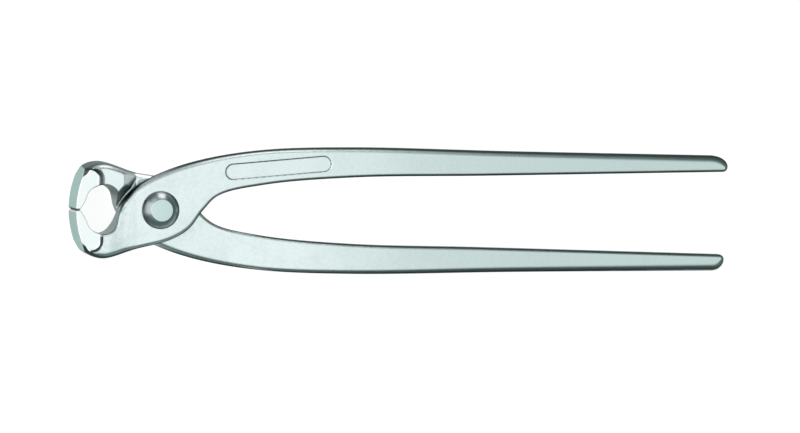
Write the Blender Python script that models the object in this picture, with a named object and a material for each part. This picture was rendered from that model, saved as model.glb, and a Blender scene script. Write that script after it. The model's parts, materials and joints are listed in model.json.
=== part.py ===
"""Rebar tying pliers: two forged steel levers of one shape that cross in a lap joint on a single rivet.

Each lever is a handle, a lap and a jaw in one piece. The rear lever is the front lever turned half round
the long axis. +X runs from the rivet to the handle ends and +Z up along the rivet, whose rear face has
the origin at its centre. Lengths are in metres. A lever is drawn with the rivet's axis at its own origin
and the lap plane at Z = 0, its handle on the +Y side and its jaw on the -Y side.
"""

import math

import bmesh
import bpy
from mathutils import Vector

MM = 0.001

# Reach of the tool, from the rivet's axis
JAW_REACH = 32.4 * MM
HANDLE_REACH = 217.6 * MM

# Handle, closed: distances of its edges from the tool's long axis
GRIP_CREST = 23.8 * MM
GRIP_CREST_X = 74.0 * MM
HANDLE_WAIST = (135.0 * MM, 22.75 * MM)
END_SPREAD = 21.8 * MM
END_WIDTH = 6.2 * MM
MIDDLE_X = 125.0 * MM
MIDDLE_WIDTH = 9.5 * MM
ROOT_X = 40.0 * MM
ROOT_SPREAD = 22.65 * MM
ROOT_WIDTH = 13.0 * MM
TIP_OUTER_RADIUS = 4.0 * MM
TIP_INNER_RADIUS = 2.1 * MM

# Lap round the rivet: edge points of the front lever
LAP_SHOULDER = (18.0 * MM, 19.35 * MM)
LAP_TOP = (3.0 * MM, 14.9 * MM)
LAP_CORNER = (-7.0 * MM, 9.3 * MM)
LAP_NOSE = (-13.2 * MM, 3.8 * MM)
LAP_HEEL = (11.1 * MM, -7.2 * MM)
LAP_FOOT = (3.5 * MM, -11.5 * MM)
THROAT_X = 16.6 * MM
THROAT_TURN = (22.2 * MM, 5.45 * MM)

# Jaw, closed: the opening that the wire passes through and the back of the jaw
OPENING_BACK = 15.6 * MM
OPENING_FLOOR = 9.0 * MM
OPENING_FLOOR_X = 21.6 * MM
OPENING_TURN = (-17.6 * MM, -7.0 * MM)
BEVEL_ROOT = (-26.6 * MM, -7.0 * MM)
BEVEL_MIDDLE = (-28.6 * MM, -3.3 * MM)
JAW_DEPTH = 18.2 * MM
JAW_DEPTH_X = 22.3 * MM
JAW_NECK = (-8.0 * MM, -14.5 * MM)
EDGE_LAND = 0.4 * MM
EDGE_GAP = 0.3 * MM

# Ground faces of the jaws
FRONT_GRIND_RADIUS = 36.0 * MM
FRONT_STOCK = 0.6 * MM
FRONT_SHARES = (0.30, 0.62)
FRONT_CORNER_SHARE = 0.83
EDGE_LENGTH = 15.6 * MM
SIDE_FLAT_REACH = 9.0 * MM
SIDE_FLAT_HEIGHT = 14.9 * MM
SIDE_FLAT_CORNER = 4.6 * MM

# Thicknesses along the rivet's axis, measured from the lap plane
LAP_THICKNESS = 6.0 * MM
JAW_WIDTH = 18.6 * MM
FLARE_CLEARANCE = 1.2 * MM
FLARE_END = 20.0 * MM
BLOCK_FOOT = 8.3 * MM
BLOCK_TOP = 14.5 * MM
GRIP_RAMP_END = 70.0 * MM
GRIP_DROP = 2.3 * MM
END_RISE = 5.5 * MM
END_DROP = 1.6 * MM

# Rounded edges of the forging
OUTER_ROUND = 2.2 * MM
END_ROUND = 2.8 * MM
INNER_ROUND = 1.3 * MM
OPENING_ROUND = 1.2 * MM
FADE_START = 5.0 * MM
FADE_LENGTH = 6.0 * MM
ROUND_SEGMENTS = 3

# Bare maker's field, sunk into the front face of the front handle
FIELD_LENGTH = 40.4 * MM
FIELD_WIDTH = 5.9 * MM
FIELD_DEPTH = 0.35 * MM
FIELD_X = 44.7 * MM
FIELD_Y = 16.05 * MM
FIELD_SLOPE = math.radians(5.3)

# Rivet
RIVET_RADIUS = 4.8 * MM
HEAD_RADIUS = 7.1 * MM
HEAD_FLAT_RADIUS = 4.0 * MM
HEAD_HEIGHT = 3.3 * MM
HEAD_RIM = 0.5 * MM
HEAD_BULGE = math.radians(30.0)
RIVET_SIDES = 44
HEAD_ARC_STEPS = 5

# Clearances and motion
RUNNING_GAP = 0.15 * MM
BORE_GAP = 0.1 * MM
NOTCH_GAP = 0.4 * MM
LAP_RELIEF = 0.1 * MM
OPEN_ANGLE = math.radians(36.0)

# Steps of the curves
HANDLE_STEP = 7.0 * MM
HEAD_STEP = 1.3 * MM
RAMP_STEPS = 4
NOTCH_STEPS = 30
GRIND_STEPS = 24
ARC_STEPS = 6
SHARP_ANGLE = math.radians(28.0)
CUT_MARGIN = 6.0 * MM
MERGE = 1e-7

LAP_PLANE_Z = LAP_THICKNESS + HEAD_HEIGHT
FLARE_START = HEAD_RADIUS + FLARE_CLEARANCE

# Finish
STEEL_COLOUR = (0.74, 0.79, 0.78, 1.0)
STEEL_ROUGHNESS = 0.34
RIVET_COLOUR = (0.62, 0.68, 0.67, 1.0)
RIVET_ROUGHNESS = 0.26


def clear_scene():
    for obj in list(bpy.data.objects):
        bpy.data.objects.remove(obj, do_unlink=True)


def steel(name, colour, roughness):
    material = bpy.data.materials.new(name)
    material.use_nodes = True
    shader = material.node_tree.nodes["Principled BSDF"]
    shader.inputs["Base Color"].default_value = colour
    shader.inputs["Metallic"].default_value = 1.0
    shader.inputs["Roughness"].default_value = roughness
    material.diffuse_color = colour
    return material


# Curves


def smooth_path(points):
    """Points along a smooth curve through the given points, in longer steps along the handle than at the head."""
    points = [Vector(p).to_2d() for p in points]
    before = points[0] * 2 - points[1]
    after = points[-1] * 2 - points[-2]
    knots = [before, *points, after]
    path = []
    for a, b, c, d in zip(knots, knots[1:], knots[2:], knots[3:]):
        ab, bc, cd = ((q - p).length ** 0.5 for p, q in ((a, b), (b, c), (c, d)))
        leave = (b - a) / ab - (c - a) / (ab + bc) + (c - b) / bc
        arrive = (c - b) / bc - (d - b) / (bc + cd) + (d - c) / cd
        step = HANDLE_STEP if min(b.x, c.x) >= ROOT_X else HEAD_STEP
        count = max(1, round((c - b).length / step))
        for k in range(count):
            t = k / count
            blend = (
                (2 * t**3 - 3 * t**2 + 1) * b
                + (t**3 - 2 * t**2 + t) * bc * leave
                + (3 * t**2 - 2 * t**3) * c
                + (t**3 - t**2) * bc * arrive
            )
            path.append(blend)
    return [*path, points[-1]]


def arc(centre, radius, start, end, steps=ARC_STEPS):
    """Points of an arc from one angle to another, in degrees, both ends included."""
    angles = [math.radians(start + (end - start) * k / steps) for k in range(steps + 1)]
    return [Vector((centre[0] + radius * math.cos(a), centre[1] + radius * math.sin(a))) for a in angles]


def ease(share):
    """A smooth step from 0 to 1."""
    share = min(1.0, max(0.0, share))
    return share * share * (3 - 2 * share)


# The lever's outline


def outer_edge():
    """From the handle's tip over its crest, round the lap and the wire opening to the cutting edge."""
    points = [
        (HANDLE_REACH - TIP_OUTER_RADIUS, END_SPREAD),
        HANDLE_WAIST,
        (GRIP_CREST_X, GRIP_CREST),
        (ROOT_X, ROOT_SPREAD),
        LAP_SHOULDER,
        LAP_TOP,
        LAP_CORNER,
        LAP_NOSE,
        (-OPENING_BACK, 0.0),
        OPENING_TURN,
        (-OPENING_FLOOR_X, -OPENING_FLOOR),
        BEVEL_ROOT,
        BEVEL_MIDDLE,
        (-JAW_REACH + EDGE_LAND, -EDGE_GAP / 2),
    ]
    return smooth_path(points)


def grind_x(y):
    """The ground front of the jaws at a height."""
    return -JAW_REACH + FRONT_GRIND_RADIUS - math.sqrt(FRONT_GRIND_RADIUS**2 - y**2)


def handle_line(x):
    """The outer edge of the straight part of the handle."""
    share = (x - GRIP_CREST_X) / (HANDLE_REACH - TIP_OUTER_RADIUS - GRIP_CREST_X)
    return GRIP_CREST + (END_SPREAD - GRIP_CREST) * share


def inner_edge():
    """From the cutting edge round the back of the jaw, the lap's lower edge and the throat to the handle's tip."""
    low = -JAW_DEPTH
    points = [
        (-JAW_REACH - FRONT_STOCK, -EDGE_GAP / 2),
        *((grind_x(share * low) - FRONT_STOCK, share * low) for share in FRONT_SHARES),
        (grind_x(FRONT_CORNER_SHARE * low), FRONT_CORNER_SHARE * low),
        (-JAW_DEPTH_X, low),
        JAW_NECK,
        LAP_FOOT,
        LAP_HEEL,
        (THROAT_X, 0.0),
        THROAT_TURN,
        (ROOT_X, ROOT_SPREAD - ROOT_WIDTH),
        (GRIP_CREST_X, GRIP_CREST - 0.5 * (ROOT_WIDTH + MIDDLE_WIDTH)),
        (MIDDLE_X, handle_line(MIDDLE_X) - MIDDLE_WIDTH),
        (HANDLE_REACH - TIP_INNER_RADIUS, END_SPREAD - END_WIDTH),
    ]
    return smooth_path(points)


def handle_tip():
    """The round end of the handle, between its inner and its outer edge."""
    inner = END_SPREAD - END_WIDTH
    low = arc((HANDLE_REACH - TIP_INNER_RADIUS, inner + TIP_INNER_RADIUS), TIP_INNER_RADIUS, -90, 0)
    high = arc((HANDLE_REACH - TIP_OUTER_RADIUS, END_SPREAD - TIP_OUTER_RADIUS), TIP_OUTER_RADIUS, 0, 90)
    return [*low[1:], *high[:-1]]


def edge_round(point, full):
    """The rounding of the forged edge at a point of the outline: it fades out towards the cutting edge."""
    away = (point - Vector((-JAW_REACH, 0.0))).length
    return full * ease((away - FADE_START) / FADE_LENGTH)


def lever_outline():
    """The forging's outline, counter-clockwise: each point with the rounding of its front and its back edge."""
    rounded = []
    for p in handle_tip():
        full = END_ROUND + (INNER_ROUND - END_ROUND) * (END_SPREAD - p.y) / END_WIDTH
        rounded.append((p, full, full))
    for p in outer_edge():
        outer = OUTER_ROUND + (END_ROUND - OUTER_ROUND) * max(0.0, p.x) / HANDLE_REACH
        full = edge_round(p, OPENING_ROUND + (outer - OPENING_ROUND) * ease(0.5 + p.y / FADE_LENGTH))
        clear_of_nose = p.x + BLOCK_FOOT - NOTCH_GAP if p.y > 0 else -p.y
        rounded.append((p, full, full * ease(clear_of_nose / FADE_LENGTH)))
    for p in inner_edge():
        blend = ease((-FLARE_START - p.x) / FADE_LENGTH)
        full = edge_round(p, INNER_ROUND + (OUTER_ROUND - INNER_ROUND) * blend)
        rounded.append((p, full, full))
    return rounded


# Thickness of the lever


def front_level(x):
    """Height of the front face over the lap plane: flat at the lap, flared at the jaw, tapered at the handle."""
    flare = ease((-x - FLARE_START) / (FLARE_END - FLARE_START))
    taper = max(0.0, (x - ROOT_X) / (HANDLE_REACH - ROOT_X))
    return LAP_THICKNESS + flare * (JAW_WIDTH / 2 - LAP_THICKNESS) + taper * (END_RISE - LAP_THICKNESS)


def back_level(x):
    """Height of the back face: the jaw's block, the lap's flat and the gentle drop to the handle."""
    lap = RUNNING_GAP / 2
    block = min(1.0, max(0.0, (-x - BLOCK_FOOT) / (BLOCK_TOP - BLOCK_FOOT)))
    drop = ease((x - ramp_start()) / (GRIP_RAMP_END - ramp_start()))
    taper = max(0.0, (x - GRIP_RAMP_END) / (HANDLE_REACH - GRIP_RAMP_END))
    handle = -GRIP_DROP + taper * (GRIP_DROP - END_DROP)
    return lap - block * (JAW_WIDTH / 2 + lap) + drop * (handle - lap)


def ramp_start():
    """Where the handle's back face begins to leave the lap plane, clear of the other lever."""
    return THROAT_X + 2 * NOTCH_GAP


def level_breaks():
    """Places along X where the faces change their slope."""
    breaks = [-BLOCK_TOP, -BLOCK_FOOT, ROOT_X]
    for start, end in ((-FLARE_END, -FLARE_START), (ramp_start(), GRIP_RAMP_END)):
        breaks += [start + (end - start) * k / RAMP_STEPS for k in range(RAMP_STEPS + 1)]
    return sorted(breaks)


# Solids


def object_from(name, mesh_builder):
    """A new object from a bmesh, linked to the scene."""
    mesh = bpy.data.meshes.new(name)
    mesh_builder.to_mesh(mesh)
    mesh_builder.free()
    obj = bpy.data.objects.new(name, mesh)
    bpy.context.scene.collection.objects.link(obj)
    return obj


def prism(points, low, high):
    """A bmesh of a counter-clockwise outline extruded along Z."""
    build = bmesh.new()
    base = build.faces.new([build.verts.new((p[0], p[1], low)) for p in points])
    build.normal_update()
    moved = bmesh.ops.extrude_face_region(build, geom=[base])
    bmesh.ops.translate(
        build, vec=(0, 0, high - low), verts=[v for v in moved["geom"] if isinstance(v, bmesh.types.BMVert)]
    )
    bmesh.ops.recalc_face_normals(build, faces=build.faces)
    return build


def baked(obj):
    """Replaces the object's mesh by its evaluated one and drops its modifiers."""
    bpy.context.view_layer.update()
    graph = bpy.context.evaluated_depsgraph_get()
    mesh = bpy.data.meshes.new_from_object(obj.evaluated_get(graph))
    obj.modifiers.clear()
    obj.data = mesh
    return obj


def cut(obj, cutter):
    """Cuts one solid out of another and removes the cutter."""
    modifier = obj.modifiers.new("cut", "BOOLEAN")
    modifier.operation = "DIFFERENCE"
    modifier.solver = "EXACT"
    modifier.object = cutter
    baked(obj)
    bpy.data.objects.remove(cutter, do_unlink=True)


def forged_blank(name):
    """The lever as it leaves the forge: rings of the outline, drawn in where its edges round over."""
    outline = lever_outline()
    points = [p for p, _, _ in outline]
    ahead = points[1:] + points[:1]
    behind = points[-1:] + points[:-1]
    inward = [Vector((a.y - b.y, b.x - a.x)).normalized() for a, b in zip(behind, ahead)]
    turns = [0.5 * math.pi * k / ROUND_SEGMENTS for k in range(ROUND_SEGMENTS + 1)]
    build = bmesh.new()
    rings = []
    for side in (1, -1):
        sweep = turns if side > 0 else reversed(turns)
        for turn in sweep:
            ring = []
            for (point, front_round, back_round), normal in zip(outline, inward):
                radius = front_round if side > 0 else back_round
                place = point + normal * radius * (1 - math.sin(turn))
                ring.append(build.verts.new((place.x, place.y, side * (1 - radius * (1 - math.cos(turn))))))
            rings.append(ring)
    for upper, lower in zip(rings, rings[1:]):
        for k in range(len(outline)):
            n = (k + 1) % len(outline)
            build.faces.new((upper[k], lower[k], lower[n], upper[n]))
    build.faces.new(rings[0])
    build.faces.new(reversed(rings[-1]))
    bmesh.ops.remove_doubles(build, verts=build.verts, dist=MERGE)
    for x in level_breaks():
        geometry = build.verts[:] + build.edges[:] + build.faces[:]
        bmesh.ops.bisect_plane(build, geom=geometry, dist=MERGE, plane_co=(x, 0, 0), plane_no=(1, 0, 0))
    for vert in build.verts:
        x, _, z = vert.co
        vert.co.z = front_level(x) + z - 1 if z > 0 else back_level(x) + z + 1
    return object_from(name, build)


def notch_outline():
    """The room that the other lever's lap needs beside the jaw's block, from closed to open."""
    lap_edge = [Vector((p.x, -p.y)) for p in outer_edge() if p.x < ROOT_X / 2 and p.y > -MM]
    polar = sorted((math.atan2(p.y, p.x) % (2 * math.pi), p.length) for p in lap_edge)

    def reach(angle):
        for (a, r), (b, s) in zip(polar, polar[1:]):
            if a <= angle <= b:
                return r + (s - r) * (angle - a) / (b - a)
        return polar[-1][1]

    first, last = math.pi, polar[-1][0] - OPEN_ANGLE
    rim = []
    for k in range(NOTCH_STEPS + 1):
        angle = first + (last - first) * k / NOTCH_STEPS
        swept = max(reach(angle + OPEN_ANGLE * j / NOTCH_STEPS) for j in range(NOTCH_STEPS + 1))
        radius = swept + NOTCH_GAP
        rim.append(Vector((radius * math.cos(angle), radius * math.sin(angle))))
    foot = NOTCH_GAP - BLOCK_FOOT
    rim = [p for p in rim if p.x < foot]
    return [*rim, (foot, rim[-1].y), (foot, GRIP_CREST), (rim[0].x, GRIP_CREST)]


def front_grind_outline():
    """What the grinding wheel takes off the front of the jaw."""
    top, bottom = CUT_MARGIN, -JAW_DEPTH - CUT_MARGIN
    heights = [bottom + (top - bottom) * k / GRIND_STEPS for k in range(GRIND_STEPS + 1)]
    outside = -JAW_REACH - CUT_MARGIN
    return [(outside, top), (outside, bottom)] + [(grind_x(y), y) for y in heights]


def side_flat_outline():
    """The pocket of the flat that is ground on the side of both jaws."""
    right = -JAW_REACH + SIDE_FLAT_REACH
    left = -JAW_REACH - CUT_MARGIN
    corner = SIDE_FLAT_CORNER
    low = arc((right - corner, -SIDE_FLAT_HEIGHT + corner), corner, -90, 0)
    high = [Vector((p.x, -p.y)) for p in reversed(low)]
    return [(left, -SIDE_FLAT_HEIGHT), *low, *high, (left, SIDE_FLAT_HEIGHT)]


def field_outline():
    """The stadium outline of the maker's field."""
    radius, half = FIELD_WIDTH / 2, (FIELD_LENGTH - FIELD_WIDTH) / 2
    ends = arc((half, 0), radius, -90, 90) + arc((-half, 0), radius, 90, 270)
    turn_x, turn_y = math.cos(FIELD_SLOPE), math.sin(FIELD_SLOPE)
    return [(FIELD_X + p.x * turn_x - p.y * turn_y, FIELD_Y + p.x * turn_y + p.y * turn_x) for p in ends]


def lever(name, material, with_field):
    """One lever: the forged blank with its ground and machined faces."""
    body = forged_blank(name)
    depth = JAW_WIDTH + CUT_MARGIN
    cut(body, object_from("front_grind", prism(front_grind_outline(), -depth, depth)))
    for low, high in ((EDGE_LENGTH / 2, depth), (-depth, -EDGE_LENGTH / 2)):
        cut(body, object_from("side_flat", prism(side_flat_outline(), low, high)))
    cut(body, object_from("lap_notch", prism(notch_outline(), -depth, RUNNING_GAP / 2 + LAP_RELIEF)))
    bore = arc((0, 0), RIVET_RADIUS + BORE_GAP, 0, 360 * (1 - 1 / RIVET_SIDES), RIVET_SIDES - 1)
    cut(body, object_from("bore", prism(bore, -depth, depth)))
    if with_field:
        floor = front_level(FIELD_X) - FIELD_DEPTH
        cut(body, object_from("field", prism(field_outline(), floor, depth)))
    finish(body, material)
    return body


def finish(obj, material):
    """Smooth shading with crisp edges, and the object's one material."""
    obj.data.materials.clear()
    obj.data.materials.append(material)
    obj.data.shade_smooth()
    obj.data.set_sharp_from_angle(angle=SHARP_ANGLE)


def rivet_head(face, sense):
    """Profile of one rivet head, from its rim to the crisp edge of its flat: pairs of radius and height."""
    rim = Vector((HEAD_RADIUS, HEAD_RIM))
    flat = Vector((HEAD_FLAT_RADIUS, HEAD_HEIGHT - RUNNING_GAP / 2))
    chord = flat - rim
    radius = chord.length / (2 * math.sin(HEAD_BULGE / 2))
    out = Vector((chord.y, -chord.x)).normalized()
    centre = (rim + flat) / 2 - radius * math.cos(HEAD_BULGE / 2) * out
    middle, half = math.degrees(math.atan2(out.y, out.x)), math.degrees(HEAD_BULGE) / 2
    flank = arc(centre, radius, middle - half, middle + half, HEAD_ARC_STEPS)
    return [(HEAD_RADIUS, face), *((p.x, face + sense * p.y) for p in flank)]


def rivet(material):
    """The pivot: a shank with a head formed on each side."""
    seat = LAP_THICKNESS + RUNNING_GAP / 2
    top = rivet_head(seat, 1)
    profile = [*reversed(top), (RIVET_RADIUS, seat), (RIVET_RADIUS, -seat), *rivet_head(-seat, -1)]
    build = bmesh.new()
    rings = []
    for k in range(RIVET_SIDES):
        angle = 2 * math.pi * k / RIVET_SIDES
        rings.append([build.verts.new((r * math.cos(angle), r * math.sin(angle), z)) for r, z in profile])
    for ring, following in zip(rings, rings[1:] + rings[:1]):
        for upper in range(len(profile) - 1):
            lower = upper + 1
            build.faces.new((ring[upper], ring[lower], following[lower], following[upper]))
    build.faces.new([ring[0] for ring in rings])
    build.faces.new([ring[-1] for ring in reversed(rings)])
    bmesh.ops.recalc_face_normals(build, faces=build.faces)
    body = object_from("pivot_rivet", build)
    finish(body, material)
    return body


def main():
    clear_scene()
    plated = steel("plated_steel", STEEL_COLOUR, STEEL_ROUGHNESS)
    front = lever("front_lever", plated, True)
    rear = lever("rear_lever", plated, False)
    pin = rivet(steel("rivet_steel", RIVET_COLOUR, RIVET_ROUGHNESS))
    for piece in (front, rear, pin):
        piece.location = (0.0, 0.0, LAP_PLANE_Z)
    rear.rotation_euler = (math.pi, 0.0, 0.0)


main()
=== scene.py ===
"""Looks of the rebar tying pliers: forged and plated levers, the rivet, and a studio stage.

Lengths are in metres. A lever is drawn with the rivet's axis at its own origin and the lap plane
at Z = 0, its handle on the +Y side and its jaw on the -Y side. The rear lever is the same lever
turned half round X.
"""

import json
import math

import bmesh
import bpy
import numpy as np
from bpy.props import FloatProperty, FloatVectorProperty, PointerProperty
from bpy.types import Operator, Panel, PropertyGroup
from mathutils import Matrix, Vector


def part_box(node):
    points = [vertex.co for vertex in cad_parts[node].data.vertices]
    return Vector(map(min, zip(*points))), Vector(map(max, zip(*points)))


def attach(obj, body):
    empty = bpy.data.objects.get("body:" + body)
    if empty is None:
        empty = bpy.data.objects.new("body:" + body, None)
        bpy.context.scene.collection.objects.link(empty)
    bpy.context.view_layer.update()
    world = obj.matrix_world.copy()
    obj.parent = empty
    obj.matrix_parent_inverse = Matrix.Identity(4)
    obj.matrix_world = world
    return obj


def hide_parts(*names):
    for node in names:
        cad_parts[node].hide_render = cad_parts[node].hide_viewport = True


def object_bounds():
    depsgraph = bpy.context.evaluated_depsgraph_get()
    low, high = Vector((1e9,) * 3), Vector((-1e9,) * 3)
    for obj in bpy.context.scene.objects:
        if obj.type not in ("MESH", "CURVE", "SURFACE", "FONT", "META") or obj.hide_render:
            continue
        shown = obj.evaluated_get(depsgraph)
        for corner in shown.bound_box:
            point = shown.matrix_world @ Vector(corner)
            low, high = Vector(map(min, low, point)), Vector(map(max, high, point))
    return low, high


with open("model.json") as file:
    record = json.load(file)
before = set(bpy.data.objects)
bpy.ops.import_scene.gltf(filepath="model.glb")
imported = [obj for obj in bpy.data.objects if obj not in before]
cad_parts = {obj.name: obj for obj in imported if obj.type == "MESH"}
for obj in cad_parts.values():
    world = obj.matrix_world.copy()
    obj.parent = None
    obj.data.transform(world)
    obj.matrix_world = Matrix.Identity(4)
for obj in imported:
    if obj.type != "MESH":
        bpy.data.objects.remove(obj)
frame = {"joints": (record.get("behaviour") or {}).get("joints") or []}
CAD_LOW, CAD_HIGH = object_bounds()
LEVER_LOW, LEVER_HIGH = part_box("front_lever")
RIVET_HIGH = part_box("pivot_rivet")[1]
PIVOT = Vector(frame["joints"][0]["pos_m"])
OPEN_ANGLE = math.radians(frame["joints"][0]["range_deg"][1])

bl_info = {
    "name": "Rebar Tying Pliers",
    "version": (1, 0, 0),
    "blender": (4, 5, 0),
    "location": "View3D > Sidebar > Pliers",
    "description": "Builds rebar tying pliers, two forged levers and a rivet, with a studio stage",
    "category": "Object",
}

MM = 0.001


def mm(low, high):
    """Two sizes in metres, given in millimetres."""
    return low * MM, high * MM


def number(name, default, description, **limits):
    """A plain number."""
    return FloatProperty(name=name, description=description, default=default, **limits)


def numbers(name, default, description, **limits):
    """A row of numbers."""
    return FloatVectorProperty(
        name=name, description=description, default=default, size=len(default), **limits
    )


def length(name, size, description):
    """A size, given in millimetres."""
    return number(name, size * MM, description, unit="LENGTH", precision=5)


def place(name, x, y, description):
    """A point of an outline, given in millimetres from the rivet's axis."""
    return numbers(name, mm(x, y), description, unit="LENGTH", precision=5)


def angle(name, degrees, description):
    """An angle, given in degrees."""
    return number(name, math.radians(degrees), description, subtype="ANGLE")


def share(name, default, description):
    """A number from 0 to 1."""
    return number(name, default, description, min=0.0, max=1.0, subtype="FACTOR")


def colour(name, default, description):
    """A linear colour."""
    return numbers(name, default, description, min=0.0, max=1.0, subtype="COLOR")


def group(kind, name, description):
    """A group of settings."""
    return PointerProperty(type=kind, name=name, description=description)


class HandleSizes(PropertyGroup):
    reach: length("Reach", LEVER_HIGH.x / MM, "Rivet's axis to the handle's tip")
    crest: length("Crest", 23.8, "Widest place of the outer edge")
    crest_x: length("Crest place", 74.0, "Where the outer edge is widest")
    end_spread: length("End spread", 21.8, "Outer edge at the tip")
    waist: place("Waist", 135.0, 22.75, "Outer edge between crest and tip")
    end_width: length("End width", 6.2, "Width at the handle's tip")
    middle_x: length("Middle place", 125.0, "Where the middle width is measured")
    middle_width: length("Middle width", 9.5, "Width in the handle's middle")
    root_x: length("Root place", 40.0, "Where the handle leaves the lap")
    root_spread: length("Root spread", 22.65, "Outer edge at the root")
    root_width: length("Root width", 13.0, "Width at the handle's root")
    tip_outer: length("Outer tip height", 4.0, "Height of the tip's outer corner")
    tip_length: length("Outer tip length", 6.8, "Length of the tip's outer corner")
    rear_tip: length("Rear tip length", 4.6, "Tip corner's length on the rear lever")
    tip_inner: length("Inner tip radius", 2.1, "Radius of the tip's inner corner")
    ramp_end: length("Ramp end", 70.0, "Where the back face is at handle level")
    drop: length("Drop", 2.3, "Handle's back below the lap plane")
    end_rise: length("End rise", 5.5, "Tip's front over the lap plane")
    end_drop: length("End drop", 1.6, "Tip's back below the lap plane")


class LapSizes(PropertyGroup):
    shoulder: place("Shoulder", 18.0, 19.35, "Outer edge where lap meets handle")
    top: place("Top", 3.0, 14.9, "Outer edge over the rivet")
    corner: place("Corner", -7.35, 9.7, "Outer edge where it turns to the nose")
    nose: place("Nose", -13.4, 3.9, "Outer edge beside the wire opening")
    heel: place("Heel", 11.1, -7.2, "Lower edge towards the throat")
    foot: place("Foot", 3.5, -11.5, "Lower edge under the rivet")
    throat_x: length("Throat", 16.6, "Where the levers' inner edges cross")
    throat_turn: place("Throat turn", 22.2, 5.45, "Inner edge between throat and handle")
    thickness: length("Thickness", 6.0, "Lap plane to the lap's outer face")
    running_gap: length("Running gap", 0.15, "Gap between the two laps")
    notch_gap: length("Notch gap", 0.4, "Gap round the other lever's lap")
    notch_room: length("Notch room", 0.52, "Width of the groove at the other lap")
    notch_lean: angle("Notch lean", 23.0, "Lean of the wall at the other lap")
    notch_fall: angle("Notch fall", 14.0, "Fall of the groove to its wall")
    bore: length("Bore", 4.9, "Radius of the bore")


class JawSizes(PropertyGroup):
    reach: length("Reach", 32.4, "Rivet's axis to the cutting edge")
    width: length("Width", (LEVER_HIGH.z - LEVER_LOW.z) / MM, "Width of the jaw")
    opening_back: length("Opening back", 15.6, "Rivet's axis to the wire opening")
    opening_floor: length("Opening floor", 9.0, "Half the height of the wire opening")
    opening_floor_x: length("Opening floor place", 21.6, "Where the wire opening is highest")
    opening_turn: place("Opening turn", -17.6, -7.0, "Opening between its back and floor")
    bevel_root: place("Bevel root", -26.6, -7.0, "Where the cutting bevel begins")
    bevel_middle: place("Bevel middle", -28.6, -3.3, "Middle of the cutting bevel")
    depth: length("Depth", 18.2, "Tool's axis to the jaw's back")
    depth_x: length("Depth place", 22.3, "Where the jaw is deepest")
    neck: place("Neck", -8.0, -14.5, "Jaw's back where the lap begins")
    rear_trim: length("Rear trim", 0.45, "How much lower the rear jaw's back is")
    edge_land: length("Edge land", 1.6, "Flat on the cutting edge")
    edge_gap: length("Edge gap", 0.04, "Gap between the closed cutting edges")
    edge_length: length("Edge length", 15.6, "Length of the cutting edge")
    grind_radius: length("Grind radius", 36.0, "Radius of the ground front")
    grind_stock: length("Grind stock", 0.6, "What the front grind takes off")
    front_upper: share("Front upper", 0.30, "First height of the front, in depths")
    front_lower: share("Front lower", 0.62, "Second height of the front, in depths")
    front_corner: share("Front corner", 0.85, "Height of the front's corner, in depths")
    flat_reach: length("Flat reach", 9.0, "Side flat's depth from the cutting edge")
    flat_shift: length("Flat shift", 0.7, "How much further the front jaw's side flat reaches")
    flat_height: length("Flat height", 15.3, "Half the height of the side flats")
    flat_corner: length("Flat corner", 3.9, "Corner radius of the side flat")
    flat_cove: length("Flat cove", 0.9, "Cove at the foot of the side flat's step")
    flat_slope: angle("Flat slope", 32.0, "Lean of the side flat's step")
    edge_chamfer: length("Edge chamfer", 0.9, "Chamfer on the front jaw's edge")
    flare_start: length("Flare start", 8.3, "Where the jaw begins to widen")
    flare_end: length("Flare end", 25.0, "Where the jaw has its full width")
    block_foot: length("Block foot", 6.9, "Where the shoulder's slope would reach the lap")
    block_end: length("Block end", 8.6, "Short wall at the block's end")
    block_top: length("Block top", 14.4, "Top of the block's shoulder")
    block_y: length("Block height", -11.3, "Height of the shoulder's middle")
    block_straight: length("Block straight", 1.6, "Half the shoulder's straight part")
    block_round: length("Block round", 3.7, "Radius of the shoulder's corners")


class EdgeSizes(PropertyGroup):
    outer: length("Outer", 3.0, "Radius of the outer edges at the lap")
    corner: length("Corner", 5.2, "Radius at the jaw's front corner")
    root: length("Root", 2.3, "Radius at the handle's root")
    block: length("Block", 0.9, "Radius of the jaw block at the wire opening")
    end: length("End", 3.7, "Radius at the handle's tip")
    lap: length("Lap", 2.3, "Radius of the lap's lower edge")
    inner: length("Inner", 1.7, "Radius of the inner edges")
    opening: length("Opening", 1.2, "Radius round the wire opening")
    face_stock: length("Face stock", 0.14, "What the face grind takes off")
    fade_start: length("Fade start", 10.0, "Where rounding begins, from the cutting edge")
    fade_length: length("Fade length", 5.0, "Length over which rounding grows")
    draft: angle("Draft", 2.0, "Slope of the forged sides")
    land: length("Land", 1.6, "Trimmed band along the sides")
    ground: length("Ground edge", 0.25, "Softness of ground edges")
    shoulder: length("Shoulder edge", 0.6, "Softness of the block's shoulder")


class FieldSizes(PropertyGroup):
    length: length("Length", 40.4, "Length of the bare field")
    width: length("Width", 5.9, "Width of the field")
    depth: length("Depth", 0.35, "Depth of the field")
    x: length("X", 44.7, "Middle of the field along the handle")
    y: length("Y", 16.05, "Middle of the field across the handle")
    slope: angle("Slope", 5.3, "Slope of the field")
    wall: length("Wall", 0.3, "Softness of the field's wall")


class RivetSizes(PropertyGroup):
    shank: length("Shank", 4.8, "Radius of the shank")
    head: length("Head", RIVET_HIGH.x / MM, "Radius of the heads")
    flat: length("Flat", 4.0, "Radius of the flat on each head")
    height: length("Height", (RIVET_HIGH.z - PIVOT.z) / MM, "Lap plane to the flat")
    rim: length("Rim", 0.5, "Straight part of the head's edge")
    bulge: angle("Bulge", 24.0, "Turn of the flank from rim to flat")
    edge: length("Edge", 0.15, "Softness of the flat's edge")


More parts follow.
